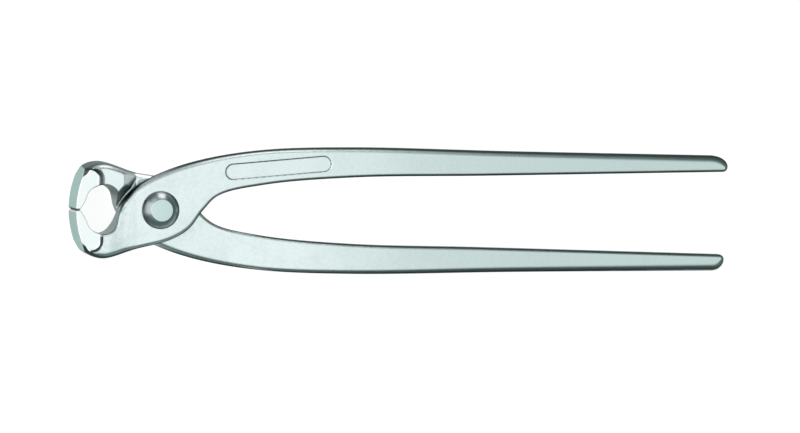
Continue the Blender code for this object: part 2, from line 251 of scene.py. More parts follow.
class FinishColours(PropertyGroup):
    face: colour("Face", (0.86, 0.89, 0.89), "Plating on the faces")
    mottle: colour("Mottle", (0.80, 0.84, 0.84), "Duller patches of the plating")
    # Painted shade: the rounded edges are darker than the faces.
    bevel: colour("Bevel", (0.42, 0.50, 0.49), "Plating on the rounded edges")
    # Painted shade: dark colour of the forged walls, also used for the slit, the brow and the
    # field's rim.
    skin: colour("Skin", (0.030, 0.050, 0.046), "Plating over the forged walls")
    # Painted shade: the ground front is darker than the ground side flats.
    strip: colour("Strip", (0.48, 0.64, 0.60), "Ground front of the jaws")
    # Also the colour of the painted highlight on the front jaw's chamfer.
    flat: colour("Flat", (0.95, 0.95, 0.95), "Ground sides of the jaws")
    graze: colour("Graze", (0.50, 0.56, 0.55), "Tint of the plating seen along its surface")
    rivet_flat: colour("Rivet flat", (0.64, 0.74, 0.74), "Flat of the rivet heads")
    # The flank's own colour with painted shade, which makes it darker than the flat.
    rivet_flank: colour("Rivet flank", (0.30, 0.37, 0.37), "Flank of the rivet heads")
    studio: colour("Studio", (0.80, 1.0, 0.97), "Light of the studio")
    panel: colour("Panel", (1.0, 0.86, 0.90), "Light of the panel over the head")
    floor: colour("Floor", (0.24, 0.24, 0.24), "Paper of the floor")


class StageSettings(PropertyGroup):
    yaw: angle("Yaw", 12.0, "Camera's turn towards the jaws")
    pitch: angle("Pitch", 2.8, "Camera's turn to the front handle")
    roll: angle("Roll", 0.96, "Camera's roll")
    distance: length("Distance", 6000.0, "Camera's distance")
    pixels_per_metre: number("Pixels per metre", 2677.5, "Scale of the picture at the lap plane")
    pivot_pixel: numbers("Pivot pixel", (157.5, 209.3), "Place of the pivot in the picture")
    floor_glow: share("Floor glow", 0.88, "Light that comes through the floor")
    floor_radius: length("Floor radius", 3000.0, "Radius of the floor")
    overhead: number("Overhead", 0.72, "Brightness of the studio overhead")
    horizon: number("Horizon", 0.22, "Brightness of the studio at the horizon")
    panel_glow: number("Panel glow", 0.36, "Brightness of the panel over the head")
    left_glow: number("Left glow", 1.45, "Brightness of the lamp on the left")
    corner_glow: number("Corner glow", 0.9, "Brightness of the lamp beyond the jaws")
    top_glow: number("Top glow", 3.2, "Brightness of the lamp beyond the tool")
    right_glow: number("Right glow", 0.5, "Brightness of the lamp on the right")


class PliersSettings(PropertyGroup):
    handle: group(HandleSizes, "Handle", "Sizes of the handles")
    lap: group(LapSizes, "Lap", "Sizes of the lap joint")
    jaw: group(JawSizes, "Jaw", "Sizes of the jaws")
    edge: group(EdgeSizes, "Edge", "Softness of the edges")
    field: group(FieldSizes, "Field", "Sizes of the bare field")
    rivet: group(RivetSizes, "Rivet", "Sizes of the rivet")
    finish: group(FinishColours, "Finish", "Colours of the finishes")
    stage: group(StageSettings, "Stage", "Floor, light and camera")


# The picture
IMAGE_SIZE = (800, 433)
SENSOR_WIDTH = 36.0
CLIP_RANGE = (0.1, 40.0)

# Steps and cells
HANDLE_STEP = 2.0 * MM
HEAD_STEP = 0.4 * MM
CELL = 0.25 * MM
FIELD_CELL = 0.35 * MM
HANDLE_CELL = 1.0 * MM
GRID_MARGIN = 1.0 * MM
KEPT_SHARE = 0.6
LEAST_STEEPNESS = 0.1
NOTCH_STEPS = 60
ARC_STEPS = 16
RIVET_SIDES = 128
FLOOR_SIDES = 96
MERGE_DISTANCE = 1e-6
SHARP_ANGLE = math.radians(25)

# Forms
CORNER_FADE = (1.4, 0.7)  # ends of the jaw corner's rounding, in fade lengths from its depth
DRAFT_FADE = 2.5  # the draft grows over this many edge lands
BLOCK_SPREAD = 1.5  # how fast the jaw block widens away from its shoulder
FLOOR_GAP = 0.2 * MM

# Turn that is given to places beside the rounded edges, which sets how much painted shade they get
FRONT_STEP_TURN, REAR_STEP_TURN = 0.36, 0.92
NOTCH_FLOOR_TURN = 0.1


# Curves


def smooth_path(points, handle_x):
    """Points of a smooth curve through the given ones, in longer steps along the handle."""
    points = [Vector(p[:2]) for p in points]
    knots = [points[0] * 2 - points[1], *points, points[-1] * 2 - points[-2]]
    path = []
    for a, b, c, d in zip(knots, knots[1:], knots[2:], knots[3:]):
        ab, bc, cd = ((q - p).length ** 0.5 for p, q in ((a, b), (b, c), (c, d)))
        leave = (b - a) / ab - (c - a) / (ab + bc) + (c - b) / bc
        arrive = (c - b) / bc - (d - b) / (bc + cd) + (d - c) / cd
        step = HANDLE_STEP if min(b.x, c.x) >= handle_x else HEAD_STEP
        count = max(1, round((c - b).length / step))
        for t in (k / count for k in range(count)):
            near = (2 * t**3 - 3 * t**2 + 1) * b + (t**3 - 2 * t**2 + t) * bc * leave
            far = (3 * t**2 - 2 * t**3) * c + (t**3 - t**2) * bc * arrive
            path.append(near + far)
    return [*path, points[-1]]


def arc(centre, radius, start, end):
    """Points of an arc from one angle to another, in degrees, both ends included."""
    turns = [math.radians(start + (end - start) * k / ARC_STEPS) for k in range(ARC_STEPS + 1)]
    x, y = centre
    return [Vector((x + radius * math.cos(a), y + radius * math.sin(a))) for a in turns]


def ease(part):
    """A smooth step from 0 to 1."""
    part = np.clip(part, 0.0, 1.0)
    return part * part * (3 - 2 * part)


# The lever's outline


def tip_length(s, is_front):
    """Length of the tip's outer corner."""
    return s.handle.tip_length if is_front else s.handle.rear_tip


def outer_edge(s, is_front):
    """From the handle's tip round the lap and the wire opening to the cutting edge."""
    points = [
        (s.handle.reach - tip_length(s, is_front), s.handle.end_spread),
        s.handle.waist,
        (s.handle.crest_x, s.handle.crest),
        (s.handle.root_x, s.handle.root_spread),
        s.lap.shoulder,
        s.lap.top,
        s.lap.corner,
        s.lap.nose,
        (-s.jaw.opening_back, 0.0),
        s.jaw.opening_turn,
        (-s.jaw.opening_floor_x, -s.jaw.opening_floor),
        s.jaw.bevel_root,
        s.jaw.bevel_middle,
        (-s.jaw.reach + s.jaw.edge_land, -s.jaw.edge_gap / 2),
    ]
    return smooth_path(points, s.handle.root_x)


def grind_x(s, y):
    """The ground front of the jaws at a height."""
    return -s.jaw.reach + s.jaw.grind_radius - math.sqrt(s.jaw.grind_radius**2 - y**2)


def inner_edge(s, is_front):
    """From the cutting edge round the jaw's back, the lap and the throat to the handle's tip."""
    handle, lap, jaw = s.handle, s.lap, s.jaw
    run = handle.reach - handle.tip_length - handle.crest_x
    slope = (handle.end_spread - handle.crest) / run
    middle = handle.crest + slope * (handle.middle_x - handle.crest_x)
    corner_y = -jaw.front_corner * jaw.depth
    trim = 0.0 if is_front else jaw.rear_trim
    points = [
        (-jaw.reach - jaw.grind_stock, -jaw.edge_gap / 2),
        *(
            (grind_x(s, part * jaw.depth) - jaw.grind_stock, -part * jaw.depth)
            for part in (jaw.front_upper, jaw.front_lower)
        ),
        (grind_x(s, corner_y), corner_y),
        (-jaw.depth_x, trim - jaw.depth),
        (jaw.neck[0], jaw.neck[1] + 2 * trim),
        lap.foot,
        lap.heel,
        (lap.throat_x - 2 * trim, 0.0),
        lap.throat_turn,
        (handle.root_x, handle.root_spread - handle.root_width),
        (handle.crest_x, handle.crest - 0.5 * (handle.root_width + handle.middle_width)),
        (handle.middle_x, middle - handle.middle_width),
        (handle.reach - handle.tip_inner, handle.end_spread - handle.end_width),
    ]
    return smooth_path(points, handle.root_x)


def handle_tip(s, is_front):
    """The round end of the handle, from its inner to its outer edge."""
    handle = s.handle
    inner = handle.end_spread - handle.end_width + handle.tip_inner
    low = arc((handle.reach - handle.tip_inner, inner), handle.tip_inner, -90, 0)
    high = arc((0.0, handle.end_spread - handle.tip_outer), handle.tip_outer, 0, 90)
    corner = tip_length(s, is_front)
    longer, start = corner / handle.tip_outer, handle.reach - corner
    return [*low[1:], *(Vector((start + p.x * longer, p.y)) for p in high[:-1])]


def lever_outline(s, is_front):
    """The forging's outline, counter-clockwise: points with their front and back rounding."""
    edge, handle = s.edge, s.handle
    cutting_edge = Vector((-s.jaw.reach, 0.0))

    def faded(point, full):
        return full * ease(((point - cutting_edge).length - edge.fade_start) / edge.fade_length)

    rounded = []
    for p in handle_tip(s, is_front):
        inward = (handle.end_spread - p.y) / handle.end_width
        full = edge.end + (edge.inner - edge.end) * inward**2
        rounded.append((p, full, full))
    for p in outer_edge(s, is_front):
        along = (s.lap.top[0], handle.root_x, handle.reach)
        outer = float(np.interp(p.x, along, (edge.outer, edge.root, edge.end)))
        at_lap = ease(0.5 + p.y / edge.fade_length)
        front = faded(p, edge.opening + (outer - edge.opening) * at_lap)
        back = faded(p, edge.block + (outer - edge.block) * at_lap)
        clear = p.x + s.jaw.block_end - s.lap.notch_gap if p.y > 0 else -p.y
        rounded.append((p, front, back * ease(clear / edge.fade_length)))
    for p in inner_edge(s, is_front):
        lap_x = -s.jaw.flare_start
        along = (
            *(-s.jaw.depth_x - part * edge.fade_length for part in CORNER_FADE),
            lap_x - edge.fade_length,
            lap_x,
            s.lap.heel[0],
            s.lap.throat_turn[0],
        )
        radii = (edge.corner, edge.outer, edge.outer, edge.lap, edge.lap, edge.inner)
        full = faded(p, float(np.interp(p.x, along, radii)))
        rounded.append((p, full, full))
    return rounded


def notch_outline(s):
    """The room that the other lever's lap needs beside the jaw's block, from closed to open."""
    half_way = s.handle.root_x / 2
    lap_edge = [Vector((p.x, -p.y)) for p in outer_edge(s, True) if p.x < half_way and p.y > -MM]
    polar = sorted((math.atan2(p.y, p.x) % math.tau, p.length) for p in lap_edge)
    turns, reaches = zip(*polar)
    first, last = math.pi, turns[-1] - OPEN_ANGLE
    rim = []
    for k in range(NOTCH_STEPS + 1):
        turn = first + (last - first) * k / NOTCH_STEPS
        swept = np.interp(turn + np.linspace(0, OPEN_ANGLE, NOTCH_STEPS), turns, reaches)
        radius = float(swept.max()) + s.lap.notch_room
        rim.append(Vector((radius * math.cos(turn), radius * math.sin(turn))))
    foot = s.lap.notch_gap - s.jaw.block_end
    rim = [p for p in rim if p.x < foot]
    beyond = s.handle.crest
    return [*rim, Vector((foot, rim[-1].y)), Vector((foot, beyond)), Vector((rim[0].x, beyond))]


# Distances: every field is negative inside its solid


def outline_distance(points, x, y):
    """Distance from a closed outline, and the nearest place on it, counted in points."""
    shape = np.broadcast_shapes(x.shape, y.shape)
    nearest = np.full(shape, np.inf)
    where = np.zeros(shape)
    inside = np.zeros(shape, bool)
    for k, (a, b) in enumerate(zip(points, points[1:] + points[:1])):
        run, rise = b - a
        along = np.clip(((x - a.x) * run + (y - a.y) * rise) / (run * run + rise * rise), 0, 1)
        gap = (x - a.x - along * run) ** 2 + (y - a.y - along * rise) ** 2
        nearer = gap < nearest
        nearest[nearer] = gap[nearer]
        where[nearer] = (k + along)[nearer]
        if rise:
            inside ^= ((a.y > y) != (b.y > y)) & (x < a.x + (y - a.y) * run / rise)
    return np.where(inside, -1, 1) * np.sqrt(nearest), where


def rounded_meet(side, face, radius):
    """Where a side and a face both hold, with their edge rounded."""
    both = np.hypot(np.maximum(side + radius, 0), np.maximum(face + radius, 0))
    return np.minimum(np.maximum(side, face) + radius, 0) + both - radius


def meet(a, b, soft):
    """Where both solids are, with a softened edge."""
    near = np.maximum(soft - np.abs(a - b), 0) / soft
    return np.maximum(a, b) + near * near * soft / 4


def joined(a, b, soft):
    """Where either solid is, with a softened inner corner."""
    return -meet(-a, -b, soft)


def less(solid, tool, soft):
    """The solid without the tool's shape."""
    return meet(solid, -tool, soft)


def front_level(s, x):
    """Height of the front face over the lap plane: flared at the jaw, tapered at the handle."""
    lap, jaw, handle = s.lap, s.jaw, s.handle
    flare = ease((-x - jaw.flare_start) / (jaw.flare_end - jaw.flare_start))
    taper = np.maximum(0, (x - handle.root_x) / (handle.reach - handle.root_x))
    rise = flare * (jaw.width / 2 - lap.thickness)
    return lap.thickness + rise + taper * (handle.end_rise - lap.thickness)


def lap_back_level(s, x):
    """Height of the back face without the jaw's block: flat at the lap, then a gentle drop."""
    lap, handle = s.lap.running_gap / 2, s.handle
    start = s.lap.throat_x + 2 * s.lap.notch_gap
    drop = ease((x - start) / (handle.ramp_end - start))
    taper = np.maximum(0, (x - handle.ramp_end) / (handle.reach - handle.ramp_end))
    return lap + drop * (-handle.drop + taper * (handle.drop - handle.end_drop) - lap)


def jaw_block(s, x, y, z):
    """The part of the jaw behind the lap plane: its sloped shoulder turns round two corners."""
    jaw, back = s.jaw, -s.jaw.width / 2
    lean = math.atan2(jaw.block_top - jaw.block_foot, s.lap.running_gap / 2 - back)
    right = x + jaw.block_top + jaw.block_round
    up = np.abs(y - jaw.block_y) - jaw.block_straight - BLOCK_SPREAD * np.maximum(-right, 0)
    across = np.hypot(np.maximum(right, 0), np.maximum(up, 0)) - jaw.block_round
    shoulder = across * math.cos(lean) - (z - back) * math.sin(lean)
    shoulder = rounded_meet(shoulder, x + jaw.block_end, s.edge.ground)
    return rounded_meet(shoulder, back - z, s.edge.shoulder)


def back_face(s, x, y, z):
    """The back of the lever: its lap and handle, and the jaw's block."""
    return joined(lap_back_level(s, x) - z, jaw_block(s, x, y, z), 2 * s.edge.ground)


def flat_right(s):
    """The right end of the ground side flat."""
    return s.jaw.flat_reach - s.jaw.reach


def flat_step(s, x, y, z, is_front):
    """The step round the flat that is ground on both sides of the jaws."""
    jaw = s.jaw
    across = x - (flat_right(s) + is_front * jaw.flat_shift - jaw.flat_corner)
    up = np.abs(y) - (jaw.flat_height - jaw.flat_corner)
    across = np.where(up > 0, np.abs(across), across)
    pocket = np.hypot(np.maximum(across, 0), np.maximum(up, 0))
    pocket = pocket + np.minimum(np.maximum(across, up), 0) - jaw.flat_corner
    depth = jaw.edge_length / 2 - np.abs(z)
    return pocket * math.cos(jaw.flat_slope) + depth * math.sin(jaw.flat_slope)


def side_flat(s, x, y, z, is_front):
    """The pocket of the side flat, with a cove at the foot of its step."""
    depth = s.jaw.edge_length / 2 - np.abs(z)
    return meet(flat_step(s, x, y, z, is_front), depth, s.jaw.flat_cove)


def field_edge(s, x, y):
    """Distance from the outline of the bare field."""
    field = s.field
    run, rise = math.cos(field.slope), math.sin(field.slope)
    along = np.abs((x - field.x) * run + (y - field.y) * rise)
    across = (y - field.y) * run - (x - field.x) * rise
    past = np.maximum(along - (field.length - field.width) / 2, 0)
    return np.hypot(past, across) - field.width / 2


def field_floor(s):
    """Height of the bare field's floor."""
    return front_level(s, np.array(s.field.x)) - s.field.depth


def blank_edge(s, x, y, is_front):
    """Distance from the forging's outline, with the rounding of the nearest front and back edge."""
    outline = lever_outline(s, is_front)
    points, front_round, back_round = zip(*outline, outline[0])
    side, where = outline_distance(list(points[:-1]), x, y)
    counts = np.arange(len(points))
    return side, np.interp(where, counts, front_round), np.interp(where, counts, back_round)


def edge_turn(s, places, is_front):
    """How far points have gone round their edge: 0 on a face, 1 on a wall."""
    x, y, z = places.T
    edge, soft = s.edge, s.edge.ground
    side, *rounds = blank_edge(s, x, y, is_front)
    front, back = front_level(s, x) - z, -back_face(s, x, y, z)
    most = edge.inner + (edge.end - edge.inner) * ease(0.5 + x / s.lap.throat_x)
    front_round, back_round = (np.clip(r, soft, most) for r in rounds)
    turn = np.minimum(front / front_round, back / back_round)
    step = 1 - ease((np.abs(flat_step(s, x, y, z, is_front)) - soft) / soft)
    step = step * ease((np.abs(z) - s.jaw.edge_length / 2) / soft - 1) * ease(front / soft - 1)
    turn = np.maximum(turn, (FRONT_STEP_TURN if is_front else REAR_STEP_TURN) * step)
    end = 1 - ease(np.abs(x + s.jaw.block_end) / soft - 0.5)
    turn = np.maximum(turn, end * ease(-z / soft) * (y < 0))
    floor = (np.abs(z - s.lap.running_gap) < soft) & (side < -soft)
    turn = np.where(floor, np.minimum(turn, NOTCH_FLOOR_TURN), turn)
    # The bare field's wall takes a turn too, so it gets painted shade.
    if is_front:
        wall = np.minimum(front, np.abs(z - field_floor(s))) / s.field.depth
        turn = np.where(field_edge(s, x, y) < 0, wall, turn)
    return np.clip(turn, 0, 1)


def draft(s, x, y, z):
    """What the draft takes off the forged sides: nothing on the land of the cutting edge."""
    jaw, edge = s.jaw, s.edge
    middle = (front_level(s, x) + lap_back_level(s, x)) / 2
    off_middle = np.maximum(np.abs(z - middle) - edge.land / 2, 0)
    from_land = np.maximum(x + jaw.reach - jaw.edge_land, np.abs(y) - jaw.edge_land)
    return math.tan(edge.draft) * off_middle * ease(from_land / (DRAFT_FADE * jaw.edge_land))


def ground_front(s, x, y):
    """The round grind over the front of the jaws."""
    radius = s.jaw.grind_radius
    return np.hypot(np.minimum(x + s.jaw.reach - radius, 0), y) - radius


def notch(s, x, y, z):
    """The groove that lets the other lever's lap turn beside the jaw's block."""
    lap = s.lap
    edge, _ = outline_distance(notch_outline(s), x[..., 0], y[..., 0])
    edge = edge[..., None]
    above = lap.running_gap / 2 - z
    fall = math.tan(lap.notch_fall) * np.clip(edge + lap.notch_room, 0, lap.notch_room)
    wall = edge - math.tan(lap.notch_lean) * np.maximum(above, 0)
    return np.maximum(wall, -above - fall)


def lever_field(s, axes, is_front):
    """The lever's solid on a grid: the forged blank with its ground and machined faces."""
    x, y, z = np.meshgrid(*axes, indexing="ij", sparse=True)
    jaw, edge = s.jaw, s.edge
    rim = blank_edge(s, x[..., 0], y[..., 0], is_front)
    side, front_round, back_round = (values[..., None] for values in rim)
    side = side + draft(s, x, y, z)
    front, back = z - front_level(s, x), back_face(s, x, y, z)
    solid = np.maximum(front, back)
    for face, radius in ((front, front_round), (back, back_round)):
        solid = np.maximum(solid, rounded_meet(side, face - edge.face_stock, radius))
    solid = meet(solid, ground_front(s, x, y), edge.ground)
    if is_front:
        corner = (y - x + jaw.edge_gap / 2 - jaw.reach + jaw.edge_chamfer) * math.sqrt(0.5)
        solid = np.maximum(solid, np.where(y < 0, corner, -1.0))
    solid = less(solid, side_flat(s, x, y, z, is_front), 2 * edge.ground)
    solid = less(solid, notch(s, x, y, z), edge.ground)
    solid = np.maximum(solid, s.lap.bore - np.hypot(x, y))
    if is_front:
        field = meet(field_edge(s, x, y), field_floor(s) - z, s.field.wall)
        solid = less(solid, field, s.field.wall)
    return solid.astype(np.float32)


# Meshes


def new_object(name, data):
    """An object in the scene."""
    made = bpy.data.objects.new(name, data)
    bpy.context.scene.collection.objects.link(made)
    return made


def lever_axes(s):
    """Grid lines: fine at the head, the field and the tip, longer along the handle."""
    handle, jaw, field = s.handle, s.jaw, s.field
    head_end, tip_start = handle.root_x / 2, handle.reach - 2 * handle.tip_outer
    field_end = field.x + field.length / 2 + GRID_MARGIN
    root_cells = round((field_end - head_end) / FIELD_CELL)
    handle_lines = round((tip_start - field_end) / HANDLE_CELL)
    along = (
        np.arange(-jaw.reach - GRID_MARGIN, head_end, CELL),
        np.linspace(head_end, field_end, root_cells, endpoint=False),
        np.linspace(field_end, tip_start, handle_lines),
        np.arange(tip_start + CELL, handle.reach + GRID_MARGIN, CELL),
    )
    across = np.arange(-jaw.depth - GRID_MARGIN, handle.crest + GRID_MARGIN, CELL)
    levels = math.ceil((jaw.width / 2 + GRID_MARGIN) / CELL)
    return np.concatenate(along), across, np.arange(-levels, levels + 1) * CELL


def sampled(field, axes, points):
    """The field's values at points, read between the grid's lines."""
    low, part = [], []
    for lines, values in zip(axes, points.T):
        index = np.clip(np.searchsorted(lines, values) - 1, 0, len(lines) - 2)
        low.append(index)
        part.append((values - lines[index]) / (lines[index + 1] - lines[index]))
    total = 0.0
    for corner in np.ndindex(2, 2, 2):
        weight = np.prod([p if c else 1 - p for c, p in zip(corner, part)], axis=0)
        total = total + weight * field[tuple(i + c for i, c in zip(low, corner))]
    return total


def slopes(field, axes, points):
    """The field's gradient at points."""
    return np.stack([sampled(slope, axes, points) for slope in np.gradient(field, *axes)], axis=1)


def surface(field, axes):
    """Points and quads of the surface where the field is zero, a point in each cell it crosses."""
    cells = tuple(n - 1 for n in field.shape)
    total = np.zeros((math.prod(cells), 3), np.float32)
    count = np.zeros(math.prod(cells), np.float32)
    corners = []
    for axis in range(3):
        low = [slice(None)] * 3
        high = [slice(None)] * 3
        low[axis], high[axis] = slice(None, -1), slice(1, None)
        start, end = field[tuple(low)], field[tuple(high)]
        crossed = np.argwhere((start < 0) != (end < 0))
        first, last = start[tuple(crossed.T)], end[tuple(crossed.T)]
        point = np.stack([lines[i] for lines, i in zip(axes, crossed.T)], axis=1)
        step = np.diff(axes[axis])[crossed[:, axis]]
        point[:, axis] += step * first / (first - last)
        around = []
        b, c = (axis + 1) % 3, (axis + 2) % 3
        for back_b, back_c in ((1, 1), (0, 1), (0, 0), (1, 0)):
            cell = crossed.copy()
            cell[:, b] -= back_b
            cell[:, c] -= back_c
            flat = np.ravel_multi_index(cell.T, cells)
            np.add.at(total, flat, point.astype(np.float32))
            np.add.at(count, flat, 1)
            around.append(flat)
        quads = np.stack(around, axis=1)
        quads[first >= 0] = quads[first >= 0][:, ::-1]
        corners.append(quads)
    used = np.flatnonzero(count)
    order = np.full(len(count), -1)
    order[used] = np.arange(len(used))
    return (total[used] / count[used, None]).astype(float), order[np.concatenate(corners)]


def thinned_mesh(name, points, quads):
    """A mesh of these quads, thinned where it is flat."""
    dense = bpy.data.meshes.new(name + "_dense")
    dense.from_pydata(points.tolist(), [], quads.tolist())
    piece = new_object(name + "_dense", dense)
    piece.modifiers.new("thin", "DECIMATE").ratio = KEPT_SHARE
    bpy.context.view_layer.update()
    evaluated = piece.evaluated_get(bpy.context.evaluated_depsgraph_get())
    mesh = bpy.data.meshes.new_from_object(evaluated)
    bpy.data.objects.remove(piece)
    bpy.data.meshes.remove(dense)
    mesh.name = name
    mesh.shade_smooth()
    return mesh


def lever_mesh(s, name, is_front):
    """The lever's mesh, with its normals taken from the field, and the turn of its edges."""
    axes = lever_axes(s)
    field = lever_field(s, axes, is_front)
    points, quads = surface(field, axes)
    gradient = slopes(field, axes, points)
    steepness = np.maximum((gradient**2).sum(axis=1), LEAST_STEEPNESS)
    points -= gradient * (sampled(field, axes, points) / steepness)[:, None]
    mesh = thinned_mesh(name, points, quads)
    places = np.empty(len(mesh.vertices) * 3, np.float32)
    mesh.vertices.foreach_get("co", places)
    places = places.reshape(-1, 3).astype(float)
    normals = slopes(field, axes, places)
    normals /= np.linalg.norm(normals, axis=1, keepdims=True)
    mesh.normals_split_custom_set_from_vertices(normals.tolist())
    turn = edge_turn(s, places, is_front).astype(np.float32)
    mesh.attributes.new("edge_turn", "FLOAT", "POINT").data.foreach_set("value", turn)
    return mesh


def rivet_profile(s):
    """Half the rivet's section, from the front flat to the lap plane: radius and height."""
    rivet = s.rivet
    seat = s.lap.thickness + s.lap.running_gap / 2
    rim, flat = Vector((rivet.head, seat + rivet.rim)), Vector((rivet.flat, rivet.height))
    chord = flat - rim
    lean = math.atan2(chord.y, chord.x)
    radius = chord.length / (2 * math.sin(rivet.bulge / 2))
    outward = Vector((math.sin(lean), -math.cos(lean)))
    centre = (rim + flat) / 2 - radius * math.cos(rivet.bulge / 2) * outward
    middle, half = math.degrees(lean) - 90, math.degrees(rivet.bulge) / 2
    flank = arc(centre, radius, middle + half, middle - half)
    return [*flank, (rivet.head, seat), (rivet.shank, seat), (rivet.shank, 0.0)]


def finished(build, name):
    """The mesh of a bmesh, which is freed."""
    mesh = bpy.data.meshes.new(name)
    build.to_mesh(mesh)
    build.free()
    return mesh


def rivet_mesh(s, name):
    """The rivet, turned round its axis, with a softened edge round each flat."""
    half, top = rivet_profile(s), s.rivet.height
    profile = [(0.0, top), *half, *((r, -z) for r, z in reversed(half[:-1])), (0.0, -top)]
    build = bmesh.new()
    verts = [build.verts.new((r, 0.0, z)) for r, z in profile]
    for a, b in zip(verts, verts[1:]):
        build.edges.new((a, b))
    bmesh.ops.spin(
        build,
        geom=build.verts[:] + build.edges[:],
        cent=(0, 0, 0),
        axis=(0, 0, 1),
        angle=math.tau,
        steps=RIVET_SIDES,
        use_merge=True,
    )
    bmesh.ops.remove_doubles(build, verts=build.verts, dist=MERGE_DISTANCE)
    bmesh.ops.recalc_face_normals(build, faces=build.faces)
    sharp = [e for e in build.edges if e.is_manifold and e.calc_face_angle() > SHARP_ANGLE]
    bmesh.ops.bevel(
        build, geom=sharp, offset=s.rivet.edge, segments=3, profile=0.5, affect="EDGES"
    )
    mesh = finished(build, name)
    mesh.shade_smooth()
    return mesh


# Shaders


class Wire:
    """A socket of a shader tree. Arithmetic on wires adds Math nodes."""

    def __init__(self, tree, socket=None):
        self.tree = tree
        self.socket = socket

    def node(self, kind, settings=None, inputs=None, output=0):
        """A new node's output, with its settings and the values or links of its sockets."""
        made = self.tree.nodes.new(kind)
        for name, value in (settings or {}).items():
            setattr(made, name, value)
        for key, value in (inputs or {}).items():
            if isinstance(value, Wire):
                self.tree.links.new(value.socket, made.inputs[key])
            else:
                made.inputs[key].default_value = value
        return Wire(self.tree, made.outputs[output])

    def math(self, operation, *values):
        return self.node("ShaderNodeMath", {"operation": operation}, dict(enumerate(values)))

    def __add__(self, other):
        return self.math("ADD", self, other)

    __radd__ = __add__

    def __sub__(self, other):
        return self.math("SUBTRACT", self, other)

    def __rsub__(self, other):
        return self.math("SUBTRACT", other, self)

    def __mul__(self, other):
        return self.math("MULTIPLY", self, other)

    __rmul__ = __mul__

    def __pow__(self, other):
        return self.math("POWER", self, other)

    def __abs__(self):
        return self.math("ABSOLUTE", self)

    def at_least(self, other):
        """The greater of two values."""
        return self.math("MAXIMUM", self, other)

    def between(self, low, high):
        """A smooth step of this value, from 0 at the first number to 1 at the second."""
        settings = {"interpolation_type": "SMOOTHSTEP"}
        ends = {"Value": self, "From Min": low, "From Max": high}
        return self.node("ShaderNodeMapRange", settings, ends)

    def below(self, low, high):
        """A smooth step of this value, from 1 at the first number to 0 at the second."""
        return 1 - self.between(low, high)

    def fade(self, mask, by):
        """This value, less a share of it where the mask is 1."""
        return self * (1 - by * mask)

    def mixed(self, plain, covered):
        """A colour that goes from the first to the second as this value goes from 0 to 1."""
        plain, covered = (c if isinstance(c, Wire) else (*c, 1.0) for c in (plain, covered))
        return self.node("ShaderNodeMix", {"data_type": "RGBA"}, {0: self, 6: plain, 7: covered}, 2)


def split(vector):
    """The X, Y and Z of a vector."""
    return [vector.node("ShaderNodeSeparateXYZ", None, {0: vector}, axis) for axis in "XYZ"]


def noise(spot, scale, detail):
    """A soft random pattern."""
    inputs = {"Vector": spot, "Scale": scale, "Detail": detail}
    return spot.node("ShaderNodeTexNoise", None, inputs)


def bumped(height, strength, distance):
    """A normal that follows a height."""
    inputs = {"Height": height, "Strength": strength, "Distance": distance}
    return height.node("ShaderNodeBump", None, inputs)


# Soft steps in the plating: along X
HEAD_END = mm(-12, 10)
HANDLE_RUN = mm(20, 110)
NECK_START = mm(-23, -16)
BLOCK_END = mm(-8.6, -8.0)
RIVET_AXIS = mm(-2, 2)
OPENING_END = mm(-16, -12)
HOLLOW_END = mm(-13.5, -12.5)
CREST_END = mm(-14, -12)
SHOULDER_START = mm(-18.5, -17)
SHOULDER_END = mm(-9.2, -8.8)
UNDER_START = mm(2, 25)
# Off the tool's axis
LAP_MIDDLE = mm(-1, 1)
OPENING_RIM = mm(9, 10.5)
HOLLOW_RIM = mm(2, 7.5)
WEDGE_RIM = mm(7.5, 9)
SHADE_RIM = mm(0.38, 0.48)
REAR_SHADE = 0.08 * MM
GLEAM_RIM = mm(0.95, 1.05)
# From the jaws' own edges and the field's outline
STRIP_DEPTH = mm(0.12, 0.30)
LAND_END = mm(-0.3, -0.1)
CHAMFER_END = mm(0.0, 0.1)
FLAT_END = mm(-0.8, -0.2)
FLAT_LEVEL = mm(0.1, 0.3)
BROW_INNER = mm(-0.65, -0.40)
BROW_OUTER = mm(0.15, 0.40)
BROW_RISE = mm(0.8, 2.4)
RIM_INSET = 0.08 * MM
RIM_WIDTH = mm(0.10, 0.34)
# Round an edge, where the painted shade begins and ends, with the shifts of the handle, the head
# and the neck
BEVEL_TURN = (0.0, 0.12)
CREST_TURN = (0.02, 0.12)
WALL_SHADE_START, HANDLE_SHIFT = 0.10, 0.17
WALL_SHADE_END, HANDLE_EARLY, HEAD_LATE = 0.47, 0.08, 0.12
LATE_START, NECK_EARLY = 0.50, 0.42
# By the way that a face looks
SHOULDER_FACING = (0.45, 0.65)
UNDER_FACING = (0.35, 0.85)
FLAT_FACING = (0.8, 0.97)
RIM_FACING = (0.2, 0.5)
RIVET_TOP = (0.9, 0.99)
RIVET_RIM = (0.58, 0.78)

# Scale and detail of the patterns
CLOUD, GRAIN, PEEL = (90.0, 3.0), (700.0, 4.0), (2600.0, 2.0)
RIVET_GRAIN, PAPER_GRAIN = (900.0, 4.0), (300.0, 3.0)
DULL_NOISE = (0.42, 0.66)

OVERHEAD_START = (0.34, 0.70)
BLACK, WHITE = (0.0, 0.0, 0.0), (1.0, 1.0, 1.0)


def new_material(name):
    """A node material with its Principled shader, and the start of its wires."""
    material = bpy.data.materials.new(name)
    material.use_nodes = True
    return material, material.node_tree.nodes["Principled BSDF"], Wire(material.node_tree)


def connect(shader, socket, wire):
    """Links a wire to a socket of the shader."""
    wire.tree.links.new(wire.socket, shader.inputs[socket])


class Place:
    """Where a point of a lever is, which way it faces and how far round an edge it lies."""

    def __init__(self, start):
        self.spot = start.node("ShaderNodeTexCoord", output="Object")
        self.x, self.y, self.z = split(self.spot)
        self.right, self.up, self.out = split(start.node("ShaderNodeTexCoord", output="Normal"))
        self.turn = start.node("ShaderNodeAttribute", {"attribute_name": "edge_turn"}, output="Fac")
        self.rear = start.node("ShaderNodeObjectInfo", output="Object Index")
        self.front = 1 - self.rear
        self.head = self.x.below(*HEAD_END)
        self.height = abs(self.y)


